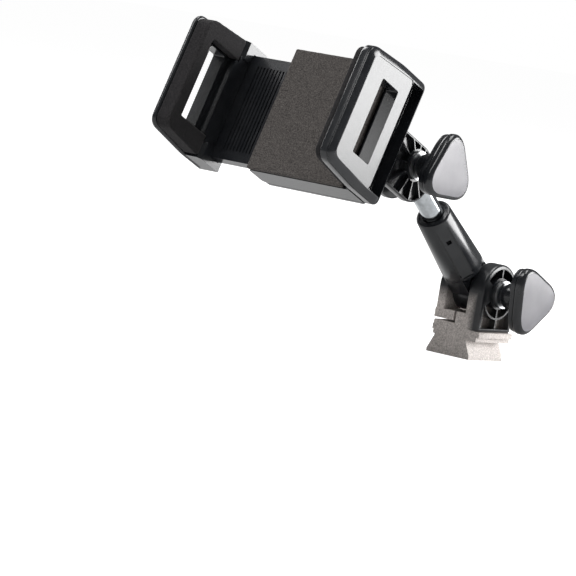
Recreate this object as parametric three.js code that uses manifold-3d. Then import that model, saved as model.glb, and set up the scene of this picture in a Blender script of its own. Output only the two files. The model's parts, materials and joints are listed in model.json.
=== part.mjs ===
// Clamping phone mount: a dovetail foot with a hinge fork, an arm with a swivelling stud, and a cradle
// whose left jaw slides out on a ribbed plate. Millimetres, +Z up, origin in the middle of the foot's
// underside, +X along both hinge axes towards their clamping knobs. The phone faces -Y.

import * as THREE from 'three';
import { mergeVertices } from 'three/addons/utils/BufferGeometryUtils.js';
import Module from 'manifold-3d';

const wasm = await Module();
wasm.setup();

// ---------- driving dimensions ----------
const GAP = 0.3; // running gap between neighbouring pieces
const SEGMENTS = 28; // facets of a large circle
const ARC_SEGMENTS = 14; // facets of a hinge ear's half circle
const FINE_SEGMENTS = 14; // facets of a screw, a bolt or a small bore
const HOLE_SEGMENTS = 10; // facets of a screw hole
const MERGE_STEP = 1e-4; // vertices are rounded to this before they are merged
const CUT = 1; // how far a cutting solid reaches past the face it cuts

const HINGE_HEIGHT = 25.3; // foot underside to lower hinge axis
const ARM_LEAN = THREE.MathUtils.degToRad(52.5); // arm from upright, towards the phone side
const ARM_LENGTH = 71.4; // hinge axis to hinge axis
const CRADLE_TURN = THREE.MathUtils.degToRad(68); // phone face from facing up, towards the phone side

const EAR_RADIUS = 10.8;
const BOLT_RADIUS = 2.5; // M5
const BORE_RADIUS = BOLT_RADIUS + GAP;
const NUT_FLATS = 8;
const NUT_THICK = 4;

const FORK = { inner: 4.7, cheekOuter: -8.6, earOuter: 11.5, bossOuter: 12.6, rootTop: 16.6 };
const LEDGE = { top: 10.7, step: 8.6, bottom: 7 };
const FOOT = { halfDepth: 10.8, waist: 7.2, halfBase: 9.7, lip: 1.2 };

const TONGUE = { halfWidth: 4.35, radius: 8.2, halfNeck: 6.8 };
const SLEEVE = { bottom: 12.2, shoulder: 14, top: 43.3, bottomRadius: 8, topRadius: 6.5 };
const STUD = {
  journal: 3.6, shank: 3.95, bottom: 20.5, halfFlat: 2.5, eyeRadius: 5.9, ringZ: 32.8, shoulder: 57.4,
};
const PANEL = { turn: THREE.MathUtils.degToRad(-38), half: 2.5, groove: 0.5 };

const KNOB = {
  circumradius: 13.4, points: 36, neck: 4.4, flare: 7.6, flareLength: 3.2, neckLength: 8.2, headThick: 6.2,
  bevel: 1.4, capInset: 1.9, capDepth: 1.2, boltEnd: 3,
};
const LOWER_KNOB_ANGLE = THREE.MathUtils.degToRad(6.5); // a corner, from +Y towards +Z
const UPPER_KNOB_ANGLE = THREE.MathUtils.degToRad(19); // the same, in the cradle's own axes
const CHEEK = { right: 0.2, bottom: 13.1 }; // the block under the fork's left ear
const CHEEK_SCREW = { x: -4.2, head: 2.8, shaft: 1.5 };
const EAR_POCKET = {
  inner: 5.9, outer: 9.1, half: 8.9, depth: 4, rib: 0.35, spread: THREE.MathUtils.degToRad(60),
};
const FAN = { inner: 5.9, edge: 0.8, depth: 1.8, count: 12, rib: 0.35 }; // pockets in the bracket's ear
const CROSS_RECESS = { reach: 0.6, half: 0.2, depth: 0.5 }; // in a screw head
const BUSH = { outer: 5.2, length: 3 };

const CRADLE = { length: 45.1, half: 24, depth: 14, padThick: 1.4, wallFront: -1.7, channelTop: -5.5 };
const CHANNEL_HALF = 21.1;
const COVER_THICK = 1.4;
const JAW = {
  frontHalf: 22.1, flareZ: 1.6, corner: 4.5, backCorner: 2.8, rim: 2.2, padInset: 0.9, padBottom: 0.7,
  panelInset: 2.6, panelDepth: 0.4,
};
const SLOT = { top: -5.4, bottom: -13.2 }; // the plate's way out through the fixed jaw
// Each jaw: its outer face, the side that it looks to, its depths below that face, its front and back, its
// window and the larger opening in its foam.
const FIXED_JAW = {
  outer: 50.9, side: 1, rim: 5.5, web: 4.4, foam: 7.8, front: 22.4, back: -14.6,
  window: { half: 14.3, low: 0.2, high: 11.1 }, opening: { half: 14.9, low: -CUT, high: 11.7 },
};
const SLIDING_JAW = {
  outer: -31.8, side: -1, rim: 3, web: 5.6, foam: 9.2, front: 23.4, back: -12.8,
  window: { half: 14.5, low: 4.4, high: 13.4 }, opening: { half: 15.3, low: -CUT, high: 17.8 },
};
const ISLAND_INSET = 3.4; // the sliding jaw's raised middle, from its outline
const PLATE = { left: -28.6, right: 42, half: 20.6, top: -5.8, bottom: -10.4 };
const RIBS = { first: -18.5, pitch: 1.5, count: 20, half: 16.7, width: 0.7, depth: 0.5 };
const FOOT_LEFT = SLIDING_JAW.outer + 1;
const FOOT_RIGHT = -22; // the sliding jaw's foot, which stops against the cradle when closed
const FOOT_HALF = 23.7; // half of that foot's length across the phone
const TONGUE_REACH = 7; // fixed jaw's tongues inside the front wall
const DETENT = { x: 11 };
const COVER_SCREW = { y: 22.3, head: 1.3, shaft: 0.8 };
const BRACKET_SCREW = { y: 12, head: 2.4, shaft: 1.2 };
const PLATE_SCREW = { head: 1.8, shaft: 0.9 };
const SLIDE_FLOOR = -12.5; // underside of the sliding jaw's foot
const BLOCK_TOP = 0; // chamfered blocks at the ends of the sliding jaw's foot
const PIVOT = { x: 40.4, z: -31.5, gapHalf: 2.6 + GAP / 3, outer: 5.6, flange: -17.9 };
const BRACKET_EAR = { y: -2.7, z: -32.7, radius: 10.4 }; // its round head, set off from the hinge axis
const SHELF = { top: 2.1, half: 15, right: -22.7 }; // ledge on the sliding jaw's foot, below its window

// ---------- materials ----------
function material(color, roughness, metalness) {
  return new THREE.MeshStandardMaterial({ color, roughness, metalness });
}
const blackPlastic = material(0x1c1d20, 0.42, 0);
const footPlastic = material(0x8a8680, 0.62, 0);
const capPlastic = material(0xa9a8ac, 0.4, 0.1);
const foam = material(0x3b3532, 0.95, 0);
const steel = material(0xb9bcc0, 0.3, 1);
const chrome = material(0xdfe3e6, 0.12, 1);

// ---------- solids ----------
/** A closed three.js geometry as a manifold solid. */
function solid(geometry) {
  geometry.deleteAttribute('normal');
  geometry.deleteAttribute('uv');
  const places = geometry.attributes.position.array;
  places.forEach((value, index) => {
    places[index] = Math.round(value / MERGE_STEP) * MERGE_STEP;
  });
  const merged = mergeVertices(geometry, MERGE_STEP / 10);
  return new wasm.Manifold(new wasm.Mesh({
    numProp: 3,
    vertProperties: Float32Array.from(merged.attributes.position.array),
    triVerts: Uint32Array.from(merged.index.array),
  }));
}

/** A manifold solid as a three.js geometry. */
function toGeometry(body) {
  const mesh = body.getMesh();
  const geometry = new THREE.BufferGeometry();
  geometry.setAttribute('position', new THREE.BufferAttribute(Float32Array.from(mesh.vertProperties), 3));
  geometry.setIndex(new THREE.BufferAttribute(Uint32Array.from(mesh.triVerts), 1));
  geometry.computeVertexNormals();
  return geometry;
}

function join(first, ...others) {
  return others.reduce((sum, other) => sum.add(other), first);
}

function cut(first, ...others) {
  return others.reduce((rest, other) => rest.subtract(other), first);
}

function box(x0, x1, y0, y1, z0, z1) {
  const geometry = new THREE.BoxGeometry(x1 - x0, y1 - y0, z1 - z0);
  return solid(geometry.translate((x0 + x1) / 2, (y0 + y1) / 2, (z0 + z1) / 2));
}

/** A 2-D shape pushed along an axis. Shapes are drawn in (x, y), (y, z) or (x, z). */
function prism(shape, axis, from, to, { segments = SEGMENTS, bevel = 0, steps = 2 } = {}) {
  const geometry = new THREE.ExtrudeGeometry(shape, {
    depth: to - from - 2 * bevel,
    curveSegments: segments,
    bevelEnabled: bevel > 0,
    bevelThickness: bevel,
    bevelSize: bevel,
    bevelOffset: -bevel,
    bevelSegments: steps,
  });
  geometry.translate(0, 0, from + bevel);
  if (axis === 'x') {
    geometry.applyMatrix4(new THREE.Matrix4().makeBasis(
      new THREE.Vector3(0, 1, 0), new THREE.Vector3(0, 0, 1), new THREE.Vector3(1, 0, 0)));
  }
  if (axis === 'y') {
    geometry.translate(0, 0, -from - to);
    geometry.applyMatrix4(new THREE.Matrix4().makeBasis(
      new THREE.Vector3(1, 0, 0), new THREE.Vector3(0, 0, 1), new THREE.Vector3(0, -1, 0)));
  }
  return solid(geometry);
}

function circle(a, b, radius) {
  return new THREE.Shape().absarc(a, b, radius, 0, 2 * Math.PI);
}

function rod(axis, a, b, radius, from, to, segments = FINE_SEGMENTS) {
  return prism(circle(a, b, radius), axis, from, to, { segments });
}

function washer(axis, a, b, outer, inner, from, to) {
  return cut(rod(axis, a, b, outer, from, to, 20), rod(axis, a, b, inner, from - CUT, to + CUT));
}

function sorted(first, second) {
  return [Math.min(first, second), Math.max(first, second)];
}

/** A regular hexagon with the given distance across its flats. */
function hexagon(a, b, flats) {
  const shape = new THREE.Shape();
  const radius = flats / Math.sqrt(3);
  for (let corner = 0; corner < 6; corner += 1) {
    const angle = (corner * Math.PI) / 3;
    shape[corner ? 'lineTo' : 'moveTo'](a + radius * Math.cos(angle), b + radius * Math.sin(angle));
  }
  return shape;
}

/** A closed outline whose corners, given as [a, b, radius], are rounded. */
function rounded(corners) {
  const shape = new THREE.Shape();
  corners.forEach(([a, b, radius = 0], index) => {
    const corner = new THREE.Vector2(a, b);
    const before = new THREE.Vector2(...corners.at(index - 1));
    const after = new THREE.Vector2(...corners[(index + 1) % corners.length]);
    const start = corner.clone().add(before.sub(corner).setLength(radius));
    const end = corner.clone().add(after.sub(corner).setLength(radius));
    shape[index ? 'lineTo' : 'moveTo'](start.x, start.y);
    if (radius > 0) {
      shape.quadraticCurveTo(corner.x, corner.y, end.x, end.y);
    }
  });
  return shape;
}

/** A rectangle mirrored about b = 0 with rounded corners. */
function roundedBar(a0, a1, half, radius) {
  return rounded([[a0, -half, radius], [a1, -half, radius], [a1, half, radius], [a0, half, radius]]);
}

/** A turned solid about Z from [radius, z] points that start and end on the axis. */
function turned(points) {
  const profile = points.map(([radius, z]) => new THREE.Vector2(radius, z));
  return solid(new THREE.LatheGeometry(profile, SEGMENTS).rotateX(Math.PI / 2));
}

function addPiece(group, name, body, colour) {
  const mesh = new THREE.Mesh(toGeometry(body), colour);
  mesh.name = name;
  group.add(mesh);
}

// ---------- shared pieces ----------
/** The fork's hinge ear seen along X: a round head about (0, z) on a straight shank down to the root. */
function earShape(z, root) {
  const shape = new THREE.Shape();
  shape.moveTo(-EAR_RADIUS, root);
  shape.lineTo(EAR_RADIUS, root);
  shape.lineTo(EAR_RADIUS, z);
  shape.absarc(0, z, EAR_RADIUS, 0, Math.PI);
  return shape;
}

/** A lightening pocket between two radii about (0, pivot), from one angle to another. */
function sectorShape(pivot, inner, outer, from, to) {
  const shape = new THREE.Shape();
  shape.absarc(0, pivot, outer, from, to);
  shape.absarc(0, pivot, inner, to, from, true);
  return shape;
}

/** A three-cornered knob outline about (0, pivot), one corner at the given angle from +Y. */
function knobShape(pivot, circumradius, angle) {
  const points = [];
  for (let step = 0; step < KNOB.points; step += 1) {
    const turn = (step * 2 * Math.PI) / KNOB.points;
    const reach = circumradius * (0.845 + 0.14 * Math.cos(3 * turn) + 0.015 * Math.cos(6 * turn));
    points.push(new THREE.Vector2(reach * Math.cos(turn + angle), pivot + reach * Math.sin(turn + angle)));
  }
  return new THREE.Shape(points);
}

/** Knob, cap and bolt on a hinge at (0, pivot): the ear's outer face is at x = ear, the nut's at nutEnd. */
function addKnob(group, prefix, pivot, ear, nutEnd, angle) {
  const back = ear + KNOB.neckLength;
  const face = back + KNOB.headThick;
  const head = prism(knobShape(pivot, KNOB.circumradius, angle), 'x', back, face, { bevel: KNOB.bevel });
  const neck = turned([
    [0, ear + GAP], [KNOB.neck, ear + GAP], [KNOB.neck, back - KNOB.flareLength], [KNOB.flare, back],
    [KNOB.flare, back + CUT], [0, back + CUT],
  ]).rotate([0, 90, 0]).translate([0, 0, pivot]);
  const capSeat = knobShape(pivot, KNOB.circumradius - KNOB.capInset, angle);
  const cap = knobShape(pivot, KNOB.circumradius - KNOB.capInset - GAP, angle);
  addPiece(group, `${prefix}_knob`, cut(
    join(head, neck),
    prism(capSeat, 'x', face - KNOB.capDepth, face + CUT),
    rod('x', 0, pivot, BORE_RADIUS, ear, face - KNOB.boltEnd),
  ), blackPlastic);
  addPiece(group, `${prefix}_knob_cap`,
    prism(cap, 'x', face - KNOB.capDepth + GAP, face, { bevel: 0.3, steps: 1 }), capPlastic);
  const bolt = rod('x', 0, pivot, BOLT_RADIUS, nutEnd, face - KNOB.boltEnd - GAP);
  addPiece(group, `${prefix}_clamp_bolt`, bolt, steel);
}

/** The captive hex nut at the far side of a hinge. */
function addNut(group, prefix, pivot, from) {
  addPiece(group, `${prefix}_nut`, cut(
    prism(hexagon(0, pivot, NUT_FLATS), 'x', from, from + NUT_THICK),
    rod('x', 0, pivot, BORE_RADIUS, from - CUT, from + NUT_THICK + CUT),
  ), steel);
}

/** A small screw along Z or -Z: head, then shaft. */
function addScrew(group, name, x, y, headEnd, tip, headRadius, shaftRadius, headThick) {
  const inward = Math.sign(tip - headEnd);
  const under = headEnd + inward * headThick;
  const recess = sorted(headEnd - inward * CUT, headEnd + inward * CROSS_RECESS.depth);
  const [long, short] = [headRadius * CROSS_RECESS.reach, CROSS_RECESS.half];
  const cross = box(x - long, x + long, y - short, y + short, ...recess);
  const bar = box(x - short, x + short, y - long, y + long, ...recess);
  addPiece(group, name, cut(
    join(
      rod('z', x, y, headRadius, ...sorted(headEnd, under), 12),
      rod('z', x, y, shaftRadius, ...sorted(under - inward * 0.1, tip), 8),
    ),
    cross, bar,
  ), steel);
}

// ---------- foot and fork ----------
function baseBody() {
  const ear = prism(earShape(HINGE_HEIGHT, LEDGE.top - 0.1), 'x', FORK.inner, FORK.earOuter,
    { segments: ARC_SEGMENTS });
  const boss = rod('x', 0, HINGE_HEIGHT, 5, FORK.earOuter - CUT, FORK.bossOuter, 24);
  const root = box(1.1, FORK.inner + CUT, -EAR_RADIUS, EAR_RADIUS, LEDGE.top - 0.1, FORK.rootTop);
  const seat = box(-8.3, 1.2, -EAR_RADIUS, EAR_RADIUS, LEDGE.top - 0.1, LEDGE.top + 1.6);
  const ledge = box(FORK.cheekOuter, FORK.earOuter + 1.1, -EAR_RADIUS, EAR_RADIUS, LEDGE.step, LEDGE.top);
  const step = box(-8, FORK.earOuter, -EAR_RADIUS, EAR_RADIUS, LEDGE.bottom, LEDGE.step + 0.1);
  const dovetail = rounded([
    [-FOOT.halfBase, 0], [FOOT.halfBase, 0], [FOOT.halfBase, FOOT.lip],
    [FOOT.waist, LEDGE.bottom - 0.6], [FOOT.waist, LEDGE.bottom + 0.1],
    [-FOOT.waist, LEDGE.bottom + 0.1], [-FOOT.waist, LEDGE.bottom - 0.6], [-FOOT.halfBase, FOOT.lip],
  ]);
  const foot = prism(dovetail, 'y', -FOOT.halfDepth, FOOT.halfDepth);
  return cut(
    join(foot, step, ledge, seat, root, ear, boss),
    ...earPockets(),
    rod('x', 0, HINGE_HEIGHT, BORE_RADIUS, FORK.inner - CUT, FORK.bossOuter + CUT),
    rod('z', CHEEK_SCREW.x, 0, CHEEK_SCREW.head + GAP, -CUT, 3.3),
    rod('z', CHEEK_SCREW.x, 0, CHEEK_SCREW.shaft + GAP, 0, LEDGE.top + 3),
  );
}

/** Pockets in the outer face of the fork's right ear: four round the hub and two down the shank. */
function earPockets() {
  const { inner, outer, half, depth, rib, spread } = EAR_POCKET;
  const pockets = [];
  const from = FORK.earOuter - depth;
  for (const middle of [Math.PI / 2, -Math.PI / 2]) {
    for (const side of [-1, 1]) {
      const [start, end] = sorted(side * (rib / inner), side * spread);
      const sector = sectorShape(HINGE_HEIGHT, inner, outer, middle + start, middle + end);
      pockets.push(prism(sector, 'x', from, FORK.earOuter + CUT, { segments: 4 }));
    }
  }
  const ring = rod('x', 0, HINGE_HEIGHT, outer + 2 * rib, from - CUT, FORK.earOuter + 2 * CUT, 32);
  for (const side of [-1, 1]) {
    const across = sorted(rib * side, half * side);
    pockets.push(cut(box(from, FORK.earOuter + CUT, ...across, LEDGE.top + 1.3, HINGE_HEIGHT), ring));
  }
  return pockets;
}

function baseCheek() {
  const ear = prism(earShape(HINGE_HEIGHT, CHEEK.bottom), 'x', FORK.cheekOuter, -FORK.inner,
    { segments: ARC_SEGMENTS });
  const block = box(FORK.cheekOuter, CHEEK.right, -EAR_RADIUS, EAR_RADIUS, CHEEK.bottom, FORK.rootTop);
  const collar = rod('x', 0, HINGE_HEIGHT, 6.6, FORK.cheekOuter - 1.2, FORK.cheekOuter + CUT, 24);
  const nutSeat = hexagon(0, HINGE_HEIGHT, NUT_FLATS + 2 * GAP);
  return cut(
    join(ear, block, collar),
    prism(nutSeat, 'x', FORK.cheekOuter - 2 * CUT, FORK.cheekOuter + 2.2),
    rod('x', 0, HINGE_HEIGHT, BORE_RADIUS, FORK.cheekOuter - CUT, 0),
    rod('z', CHEEK_SCREW.x, 0, CHEEK_SCREW.shaft + GAP, LEDGE.top, FORK.rootTop - 0.6),
  );
}

function buildBase() {
  const group = new THREE.Group();
  addPiece(group, 'base_body', baseBody(), footPlastic);
  addPiece(group, 'fork_cheek', baseCheek(), blackPlastic);
  addScrew(group, 'cheek_screw', CHEEK_SCREW.x, 0, 0.6, LEDGE.top + 4.7,
    CHEEK_SCREW.head, CHEEK_SCREW.shaft, 2.4);
  addNut(group, 'lower', HINGE_HEIGHT, FORK.cheekOuter - 1.9);
  addPiece(group, 'lower_washer',
    washer('x', 0, HINGE_HEIGHT, 5.2, BORE_RADIUS, FORK.bossOuter + GAP, FORK.bossOuter + 1), steel);
  addKnob(group, 'lower', HINGE_HEIGHT, FORK.bossOuter + 1, FORK.cheekOuter - 1.5, LOWER_KNOB_ANGLE);
  return group;
}

// ---------- arm and stud, built with the lower hinge at the origin and the arm along Z ----------
function panelCut(turn) {
  const slope = Math.atan2(SLEEVE.bottomRadius - SLEEVE.topRadius, SLEEVE.top - SLEEVE.shoulder);
  const middleZ = (SLEEVE.top + SLEEVE.shoulder) / 2;
  const radius = (SLEEVE.topRadius + SLEEVE.bottomRadius) / 2;
  const flat = Math.sqrt(radius ** 2 - PANEL.half ** 2);
  const long = (SLEEVE.top - SLEEVE.shoulder) / 2;
  const pieces = [
    box(flat, flat + 4, -PANEL.half, PANEL.half, -long, long - 3),
    box(flat - PANEL.groove, flat + 4, -PANEL.half - 0.1, -PANEL.half + 0.4, 1 - long, long - 4),
    box(flat - PANEL.groove, flat + 4, PANEL.half - 0.4, PANEL.half + 0.1, 1 - long, long - 4),
  ];
  return pieces.map((piece) => piece.rotate([0, -THREE.MathUtils.radToDeg(slope), 0])
    .translate([0, 0, middleZ]).rotate([0, 0, THREE.MathUtils.radToDeg(turn)]));
}

function armSleeve() {
  const tongue = rod('x', 0, 0, TONGUE.radius, -TONGUE.halfWidth, TONGUE.halfWidth, SEGMENTS);
  const { halfWidth, halfNeck } = TONGUE;
  const neck = box(-halfWidth, halfWidth, -halfNeck, halfNeck, 0, SLEEVE.shoulder);
  const sleeve = turned([
    [0, SLEEVE.bottom], [SLEEVE.bottomRadius - 1.4, SLEEVE.bottom], [SLEEVE.bottomRadius, SLEEVE.shoulder],
    [SLEEVE.topRadius + 0.2, SLEEVE.top - 0.6], [SLEEVE.topRadius - 0.4, SLEEVE.top], [0, SLEEVE.top],
  ]);
  const window = box(0, 9, -0.9, 0.9, STUD.ringZ - 0.9, STUD.ringZ + 0.9)
    .rotate([0, 0, THREE.MathUtils.radToDeg(PANEL.turn)]);
  return cut(
    join(tongue, neck, sleeve),
    ...panelCut(PANEL.turn),
    ...panelCut(PANEL.turn + Math.PI),
    rod('x', 0, 0, BORE_RADIUS, -9, 9),
    rod('z', 0, 0, STUD.journal + GAP, STUD.bottom - GAP, SLEEVE.top + CUT, 20),
    rod('z', 0, 0, BUSH.outer + GAP, SLEEVE.top - BUSH.length - GAP, SLEEVE.top + CUT, 20),
    rod('z', 0, 0, STUD.journal + 1.3, STUD.ringZ - 0.7, STUD.ringZ + 0.7, 20),
    window,
  );
}

function buildArm() {
  const group = new THREE.Group();
  addPiece(group, 'arm_sleeve', armSleeve(), blackPlastic);
  addPiece(group, 'stud_bush', washer('z', 0, 0, BUSH.outer, STUD.shank + GAP,
    SLEEVE.top - BUSH.length, SLEEVE.top - 0.4), blackPlastic);
  return group;
}

function swivelStud() {
  const journal = rod('z', 0, 0, STUD.journal, STUD.bottom, SLEEVE.top - BUSH.length, 20);
  const shank = rod('z', 0, 0, STUD.shank, SLEEVE.top - BUSH.length - 0.1, ARM_LENGTH - 3, 20);
  const eye = rod('x', 0, ARM_LENGTH, STUD.eyeRadius, -STUD.halfFlat, STUD.halfFlat, SEGMENTS);
  const flats = [-1, 1].map((side) => {
    const faces = sorted(STUD.halfFlat * side, 9 * side);
    return box(...faces, -9, 9, STUD.shoulder, ARM_LENGTH);
  });
  return cut(
    join(journal, cut(shank, ...flats), eye),
    rod('x', 0, ARM_LENGTH, BORE_RADIUS, -9, 9),
    washer('z', 0, 0, 6, STUD.journal - 0.8, STUD.ringZ - 0.6, STUD.ringZ + 0.6),
  );
}

/** The open ring that snaps into the stud's groove and holds it in the arm. */
function snapRing() {
  const ring = washer('z', 0, 0, STUD.journal + 0.9, STUD.journal - 0.4, STUD.ringZ - 0.3, STUD.ringZ + 0.3);
  return cut(ring, box(0, 9, -0.8, 0.8, STUD.ringZ - CUT, STUD.ringZ + CUT));
}

function buildStud() {
  const group = new THREE.Group();
  addPiece(group, 'swivel_stud', swivelStud(), chrome);
  addPiece(group, 'stud_snap_ring', snapRing(), steel);
  return group;
}

// ---------- cradle, built with its phone face on z = 0, its length along X and its width along Y ----------
/** The outline of a jaw in (y, z), a little narrower at the front. */
function jawShape({ front, back }) {
  const [wide, half] = [CRADLE.half, JAW.frontHalf];
  return rounded([
    [-wide, back, JAW.backCorner], [wide, back, JAW.backCorner], [wide, JAW.flareZ, 2],
    [half, front, JAW.corner], [-half, front, JAW.corner], [-wide, JAW.flareZ, 2],
  ]);
}

/** The outline of a jaw above the phone face in (y, z), drawn in by an inset. */
function trayShape({ front }, inset, bottom) {
  const [wide, half] = [CRADLE.half - inset, JAW.frontHalf - inset];
  const radius = JAW.corner - inset / 2;
  return rounded([
    [-wide, bottom, 1.5], [wide, bottom, 1.5], [half, front - inset, radius], [-half, front - inset, radius],
  ]);
}

function windowShape({ half, low, high }) {
  return rounded([[-half, low, 1], [half, low, 1], [half, high, 1], [-half, high, 1]]);
}

/** A prism along X between two depths below a jaw's outer face. */
function atDepth(jaw, shape, near, far, segments = 6) {
  return prism(shape, 'x', ...sorted(jaw.outer - jaw.side * near, jaw.outer - jaw.side * far), { segments });
}

/** A jaw plate with a window and a shallow panel outside, hollowed or raised inside to take the foam. */
function jawPlate(jaw) {
  const [near, far] = sorted(jaw.outer, jaw.outer - jaw.side * (jaw.rim + 3));
  const [cutFrom, cutTo] = sorted(jaw.outer - jaw.side * jaw.rim, jaw.outer - jaw.side * (jaw.rim + 9));
  const plate = cut(
    prism(jawShape(jaw), 'x', near, far, { bevel: 1.2, segments: 6 }),
    box(cutFrom, cutTo, -30, 30, -30, 30),
  );
  const inside = jaw.web < jaw.rim
    ? cut(plate, atDepth(jaw, trayShape(jaw, JAW.rim, 0.4), jaw.web, jaw.rim + CUT))
    : join(plate, atDepth(jaw, trayShape(jaw, ISLAND_INSET, 0.4), jaw.rim - 0.1, jaw.web));
  return cut(
    inside,
    atDepth(jaw, windowShape(jaw.window), -CUT, jaw.web + CUT, 4),
    atDepth(jaw, trayShape(jaw, JAW.panelInset, SLOT.top), -CUT, JAW.panelDepth),
  );
}

/** The foam liner on the rim: plugged into a hollow jaw, or hollowed over a raised one. */
function jawPad(jaw) {
  const onRim = jaw.rim + GAP;
  const sheet = atDepth(jaw, trayShape(jaw, JAW.padInset, JAW.padBottom), onRim, jaw.foam);
  const fitted = jaw.web < jaw.rim
    ? join(sheet, atDepth(jaw, trayShape(jaw, JAW.rim + GAP, JAW.padBottom), jaw.web + GAP, onRim + 0.1))
    : cut(sheet, atDepth(jaw, trayShape(jaw, ISLAND_INSET - GAP, -CUT), 0, jaw.web + GAP));
  return cut(fitted, atDepth(jaw, windowShape(jaw.opening), 0, jaw.foam + CUT, 4));
}

/** Cutting rods along Z at the given (x, y) places. */
function holes(places, radius, from, to) {
  return places.map(([x, y]) => rod('z', x, y, radius, from, to, HOLE_SEGMENTS));
}

function fixedJaw() {
  const inner = FIXED_JAW.outer - FIXED_JAW.rim;
  const slot = box(inner - CUT, FIXED_JAW.outer + CUT, -CHANNEL_HALF, CHANNEL_HALF, SLOT.bottom, SLOT.top);
  const tongues = [-1, 1].map((side) => {
    const [low, high] = sorted(10 * side, 18 * side);
    return box(inner - TONGUE_REACH, inner + CUT, low, high, -4.2, -3);
  });
  return cut(join(jawPlate(FIXED_JAW), ...tongues), slot);
}

/** The front housing: a channel for the slide plate, open at both ends and closed behind by the cover. */
function cradleBody() {
  const back = -CRADLE.depth + COVER_THICK + GAP;
  const profile = rounded([
    [0, back + 1.5], [1.5, back], [CRADLE.length, back], [CRADLE.length, CRADLE.wallFront],
    [0.6, CRADLE.wallFront], [0, CRADLE.wallFront - 0.6],
  ]);
  const pockets = [-1, 1].map((side) => {
    const [low, high] = sorted(9.7 * side, 18.3 * side);
    return box(CRADLE.length - TONGUE_REACH - GAP, CRADLE.length + CUT, low, high, -4.5, -2.7);
  });
  return cut(
    prism(profile, 'y', -CRADLE.half, CRADLE.half),
    box(-CUT, CRADLE.length + CUT, -CHANNEL_HALF, CHANNEL_HALF, back - CUT, CRADLE.channelTop),
    box(DETENT.x - 6, DETENT.x + 6, -4.3, 4.3, CRADLE.channelTop - CUT, CRADLE.channelTop + 1.2),
    ...pockets,
    ...holes(coverScrewPlaces(), COVER_SCREW.shaft + GAP, back - CUT, back + 4.5),
  );
}

function coverScrewPlaces() {
  const places = [];
  for (const x of [6, CRADLE.length - 6]) {
    for (const side of [-1, 1]) {
      places.push([x, side * COVER_SCREW.y]);
    }
  }
  return places;
}

function backCover() {
  const front = -CRADLE.depth + COVER_THICK;
  const outline = roundedBar(GAP, CRADLE.length, CRADLE.half, 1.5);
  const plate = prism(outline, 'z', -CRADLE.depth, front, { segments: 4 });
  return cut(
    plate,
    ...holes(coverScrewPlaces(), COVER_SCREW.head + 0.2, -CRADLE.depth - CUT, front + CUT),
    ...holes(bracketScrewPlaces(), BRACKET_SCREW.shaft + GAP, -CRADLE.depth - CUT, front + CUT),
  );
}

function bracketScrewPlaces() {
  return [-1, 1].map((side) => [PIVOT.x - 11, side * BRACKET_SCREW.y]);
}

/** The bracket's ear in (y, z): a round head hanging from a straight shank, drawn in by an inset. */
function bracketEarShape(inset) {
  const { y, z } = BRACKET_EAR;
  const radius = BRACKET_EAR.radius - inset;
  const root = PIVOT.flange + 0.5 - inset;
  const shape = new THREE.Shape();
  shape.moveTo(y + radius, root);
  shape.lineTo(y - radius, root);
  shape.lineTo(y - radius, z);
  shape.absarc(y, z, radius, Math.PI, 2 * Math.PI);
  return shape;
}

/** The hinge bracket behind the cradle: a flange and two ears about the upper hinge axis. */
function pivotBracket() {
  const top = -CRADLE.depth - GAP;
  const flange = prism(roundedBar(PIVOT.x - 15, PIVOT.x + 4.5, 16, 3), 'z', PIVOT.flange + 1.8, top,
    { segments: 4 });
  const hump = prism(roundedBar(PIVOT.x - 8, PIVOT.x + PIVOT.outer, BRACKET_EAR.radius + 1.6, 2), 'z',
    PIVOT.flange, PIVOT.flange + 2, { segments: 4 }).translate([0, BRACKET_EAR.y, 0]);
  const ears = [[-PIVOT.outer, -PIVOT.gapHalf], [PIVOT.gapHalf, PIVOT.outer]].map(([from, to]) => (
    prism(bracketEarShape(0), 'x', PIVOT.x + from, PIVOT.x + to, { segments: ARC_SEGMENTS })));
  const hub = rod('x', 0, PIVOT.z, 5, PIVOT.x + PIVOT.outer - CUT, PIVOT.x + PIVOT.outer + 0.6, 24);
  return cut(
    join(flange, hump, ...ears, hub),
    bracketPockets(),
    rod('x', 0, PIVOT.z, BORE_RADIUS, PIVOT.x - 9, PIVOT.x + 9),
    ...holes(bracketScrewPlaces(), BRACKET_SCREW.shaft + GAP, PIVOT.flange - CUT, top + CUT),
  );
}

/** The pockets in the outer face of the bracket's knob-side ear, between ribs that fan out from the hub. */
function bracketPockets() {
  const { inner, edge, depth, count, rib } = FAN;
  const face = PIVOT.x + PIVOT.outer;
  const [near, far] = [face - depth, face + CUT];
  const ribs = Array.from({ length: count }, (_, index) => (
    box(near - CUT, far + CUT, 0, 2 * BRACKET_EAR.radius, -rib, rib)
      .rotate([(index + 0.5) * (360 / count), 0, 0]).translate([0, 0, PIVOT.z])));
  return cut(
    prism(bracketEarShape(edge), 'x', near, far, { segments: ARC_SEGMENTS }),
    rod('x', 0, PIVOT.z, inner, near - CUT, far + CUT, 20),
    ...ribs,
  );
}

/** The bowed steel strip that clicks over the slide plate's ribs. */
function detentLeaf() {
  const z = CRADLE.channelTop;
  return prism(rounded([
    [DETENT.x - 5.5, z + 0.5], [DETENT.x, z + 0.1, 1], [DETENT.x + 5.5, z + 0.5],
    [DETENT.x + 5.5, z + 0.9], [DETENT.x, z + 0.5, 1], [DETENT.x - 5.5, z + 0.9],
  ]), 'y', -3.8, 3.8, { segments: 2 });
}

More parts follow.
